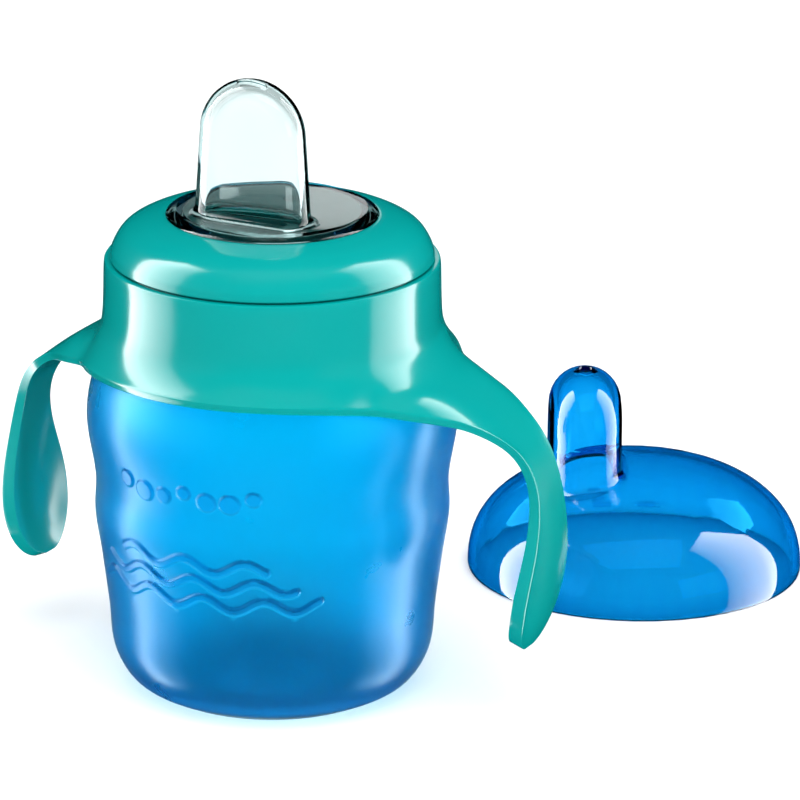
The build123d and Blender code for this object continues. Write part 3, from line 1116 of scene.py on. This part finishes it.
def build_cap(sizes):
    """Hygiene cap: a blunt dome with a hollow tower, a vent hole and two snap tabs."""
    wall = sizes.wall / MM
    outside, inside = cap_half(0), cap_half(wall)
    rim = [math.atan2(p.y, p.x) for p in outside[-1]]
    inner_rim = [math.atan2(p.y, p.x) for p in inside[-1]]
    edge = [circle_ring(rim, CAP_R - 0.1, 0.12), circle_ring(rim, CAP_R - 0.4, 0.0)]
    edge += [circle_ring(inner_rim, CAP_R + 0.3 - wall, 0.0)]
    edge += [circle_ring(inner_rim, CAP_R + 0.1 - wall, 0.12)]
    piece = skin("hygiene_cap_shell", outside + edge + list(reversed(inside)), 50)
    top = CAP_HIGH.z + TOWER_CROWN
    hole = ((0, top - 4), (VENT_R, top - 4), (VENT_R, top + 1), (0, top + 1))
    vent = skin("vent", [circle_ring(even_angles(48), r, z) for r, z in hole])
    vent.data.transform(Matrix.Translation((0, TOWER_Y * MM, 0)))
    combine(piece, vent, "DIFFERENCE")
    for degrees in TAB_ANGLES:
        combine(piece, snap_tab(degrees, wall), "UNION")
    place = Matrix.Translation((CAP_MIDDLE.x * MM, CAP_MIDDLE.y * MM, 0))
    piece.data.transform(place @ Matrix.Rotation(math.radians(CAP_TURN), 4, "Z"))
    return piece


# ---- Operators ------------------------------------------------------------------------


class SPOUTCUP_OT_cup(bpy.types.Operator):
    """Builds the tinted cup body with its relief, foot and threaded neck"""

    bl_idname = "spoutcup.cup"
    bl_label = "Cup Body"

    def execute(self, context):
        sizes = context.scene.spoutcup_sizes
        piece = build_cup(sizes)
        material = polypropylene_tinted(context.scene.spoutcup_colours, sizes.wall)
        finish_piece(piece, "cup_body", "cup", material)
        # Light comes through the tinted wall, so the body throws no dark shadow.
        piece.visible_shadow = False
        return {"FINISHED"}


class SPOUTCUP_OT_collar(bpy.types.Operator):
    """Builds the collar with its skirt and its two swept handles"""

    bl_idname = "spoutcup.collar"
    bl_label = "Handle Collar"

    def execute(self, context):
        piece = build_collar(context.scene.spoutcup_sizes)
        material = polypropylene_opaque(context.scene.spoutcup_colours)
        finish_piece(piece, "handle_collar", "handles", material)
        return {"FINISHED"}


class SPOUTCUP_OT_ring(bpy.types.Operator):
    """Builds the screw ring that clamps the spout on the cup"""

    bl_idname = "spoutcup.ring"
    bl_label = "Screw Ring"

    def execute(self, context):
        piece = build_ring()
        material = polypropylene_opaque(context.scene.spoutcup_colours)
        finish_piece(piece, "screw_ring", "ring", material)
        return {"FINISHED"}


class SPOUTCUP_OT_spout(bpy.types.Operator):
    """Builds the clear soft spout and paints the valve under it dark, as painted shade of the
    cup's inside
    """

    bl_idname = "spoutcup.spout"
    bl_label = "Soft Spout and Valve"

    def execute(self, context):
        colours = context.scene.spoutcup_colours
        sizes = context.scene.spoutcup_sizes
        piece = build_spout(sizes)
        material = silicone_clear(colours, sizes.spout_wall)
        finish_piece(piece, "soft_spout", "ring", material)
        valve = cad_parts["non_spill_valve"]
        valve.data.materials.clear()
        # The valve's dark colour is painted shade of the cup's inside.
        valve.data.materials.append(silicone_painted_shade(colours))
        return {"FINISHED"}


class SPOUTCUP_OT_cap(bpy.types.Operator):
    """Builds the clear hygiene cap that stands beside the cup"""

    bl_idname = "spoutcup.cap"
    bl_label = "Hygiene Cap"

    def execute(self, context):
        sizes = context.scene.spoutcup_sizes
        piece = build_cap(sizes)
        material = polypropylene_clear(context.scene.spoutcup_colours, sizes.wall)
        finish_piece(piece, "hygiene_cap", "cap", material)
        return {"FINISHED"}


# ---- Studio ---------------------------------------------------------------------------

# Level directions away from the camera and to its right, and how the camera stands.
AWAY = Vector((-0.4772, 0.8788, 0))
RIGHT = Vector((0.8788, 0.4772, 0))
CAMERA_HEIGHT_M = 0.394
CAMERA_LENS = 239.85
CAMERA_PITCH = 18.55
CAMERA_YAW = 1.37
CAMERA_ROLL = 0.44


def softbox(name, place, aim, size, power):
    """Rectangular studio light at a place, turned towards the aim."""
    light = bpy.data.lights.new(name, "AREA")
    light.shape = "RECTANGLE"
    light.size, light.size_y = size
    light.energy = power
    lamp = bpy.data.objects.new(name, light)
    lamp.visible_camera = False
    lamp.location = place
    lamp.rotation_mode = "QUATERNION"
    lamp.rotation_quaternion = (aim - place).to_track_quat("-Z", "Y")
    bpy.context.collection.objects.link(lamp)
    return lamp


def reflected_only(lamp):
    """Lets a light show in glossy surfaces without lighting the scene."""
    lamp.visible_diffuse = False
    lamp.visible_transmission = False


def strip_light(name, side, power):
    """Tall softbox beside the cup, brighter towards the end behind the cup."""
    height = Vector((0, 0, 0.25))
    lamp = softbox(name, RIGHT * 0.8 * side + height, height, (0.62, 2.2), power)
    reflected_only(lamp)
    lamp.data.use_nodes = True
    tree = lamp.data.node_tree
    tree.nodes.clear()
    across = add_node(tree, "ShaderNodeNewGeometry")
    split = add_node(tree, "ShaderNodeSeparateXYZ", {"Vector": across.outputs["Parametric"]})
    ends = (0.25, 1.5) if side > 0 else (1.5, 0.25)
    fade = add_node(
        tree,
        "ShaderNodeMapRange",
        {"Value": split.outputs["X"], "To Min": ends[0], "To Max": ends[1]},
    )
    glow = add_node(tree, "ShaderNodeEmission", {"Strength": fade.outputs["Result"]})
    add_node(tree, "ShaderNodeOutputLight", {"Surface": glow.outputs["Emission"]})


class SPOUTCUP_OT_stage(bpy.types.Operator):
    """Lays the pale floor, hangs the studio lights and sets the camera"""

    bl_idname = "spoutcup.stage"
    bl_label = "Studio"

    def execute(self, context):
        scene = context.scene
        colours = scene.spoutcup_colours
        grid = bmesh.new()
        bmesh.ops.create_grid(grid, x_segments=24, y_segments=24, size=6.0)
        mesh = bpy.data.meshes.new("studio_floor")
        grid.to_mesh(mesh)
        grid.free()
        floor = bpy.data.objects.new("studio_floor", mesh)
        floor.visible_glossy = False
        floor.data.materials.append(paper(colours))
        context.collection.objects.link(floor)

        strip_light("strip_left", -1, 45.0)
        strip_light("strip_right", 1, 33.0)
        centre = Vector((0, 0, 0.06))
        top = softbox("top_softbox", Vector((0.25, -0.35, 1.2)), centre, (1.2, 0.9), 14.0)
        top.visible_glossy = False
        for name, side, power in (("fill_left", -1, 3.0), ("fill_right", 1, 7.0)):
            beside = RIGHT * side - AWAY * 0.8 + Vector((0, 0, 0.25))
            fill = softbox(name, beside, centre, (0.8, 0.8), power)
            fill.visible_glossy = False
        behind = AWAY * 1.5 + RIGHT * 0.06 + Vector((0, 0, 0.55))
        reflected_only(softbox("card_behind", behind, centre, (0.13, 0.2), 0.12))

        world = bpy.data.worlds.new("studio_air")
        scene.world = world
        world.use_nodes = True
        world.cycles_visibility.glossy = False
        tree = world.node_tree
        tree.nodes.clear()
        path = add_node(tree, "ShaderNodeLightPath")
        seen = add_node(
            tree,
            "ShaderNodeMapRange",
            {"Value": path.outputs["Is Transmission Ray"], "To Min": 0.85, "To Max": 0.7},
        )
        air = add_node(
            tree,
            "ShaderNodeBackground",
            {"Color": linear("#FFFFFF"), "Strength": seen.outputs["Result"]},
        )
        add_node(tree, "ShaderNodeOutputWorld", {"Surface": air.outputs["Background"]})

        scene.view_settings.view_transform = "Standard"
        camera = bpy.data.cameras.new("camera")
        camera.lens = CAMERA_LENS
        camera.sensor_width = 36.0
        camera.clip_start = 0.05
        camera.clip_end = 20.0
        eye = bpy.data.objects.new("camera", camera)
        context.collection.objects.link(eye)
        pitch, yaw = math.radians(CAMERA_PITCH), math.radians(CAMERA_YAW)
        ahead = AWAY * math.cos(pitch) - Vector((0, 0, 1)) * math.sin(pitch)
        ahead = (ahead * math.cos(yaw) + RIGHT * math.sin(yaw)).normalized()
        eye.location = -AWAY + Vector((0, 0, CAMERA_HEIGHT_M))
        eye.rotation_mode = "QUATERNION"
        roll = Quaternion((0, 0, 1), math.radians(CAMERA_ROLL))
        eye.rotation_quaternion = ahead.to_track_quat("-Z", "Y") @ roll
        scene.camera = eye
        return {"FINISHED"}


STEPS = (
    SPOUTCUP_OT_stage,
    SPOUTCUP_OT_cup,
    SPOUTCUP_OT_collar,
    SPOUTCUP_OT_ring,
    SPOUTCUP_OT_spout,
    SPOUTCUP_OT_cap,
)


class SPOUTCUP_PT_panel(bpy.types.Panel):
    """Lists the cup's sizes, colours and building steps."""

    bl_idname = "SPOUTCUP_PT_panel"
    bl_label = "Spout Cup"
    bl_space_type = "VIEW_3D"
    bl_region_type = "UI"
    bl_category = "Spout Cup"

    def draw(self, context):
        for group in (context.scene.spoutcup_sizes, context.scene.spoutcup_colours):
            for name in group.bl_rna.properties.keys():
                if name not in ("rna_type", "name"):
                    self.layout.prop(group, name)
        for step in STEPS:
            self.layout.operator(step.bl_idname)


CLASSES = (SpoutCupSizes, SpoutCupColours, *STEPS, SPOUTCUP_PT_panel)


def register():
    for item in CLASSES:
        bpy.utils.register_class(item)
    bpy.types.Scene.spoutcup_sizes = PointerProperty(type=SpoutCupSizes)
    bpy.types.Scene.spoutcup_colours = PointerProperty(type=SpoutCupColours)


def unregister():
    del bpy.types.Scene.spoutcup_colours
    del bpy.types.Scene.spoutcup_sizes
    for item in reversed(CLASSES):
        bpy.utils.unregister_class(item)


def main():
    register()
    for step in STEPS:
        group, name = step.bl_idname.split(".")
        getattr(getattr(bpy.ops, group), name)()


if __name__ == "__main__":
    main()
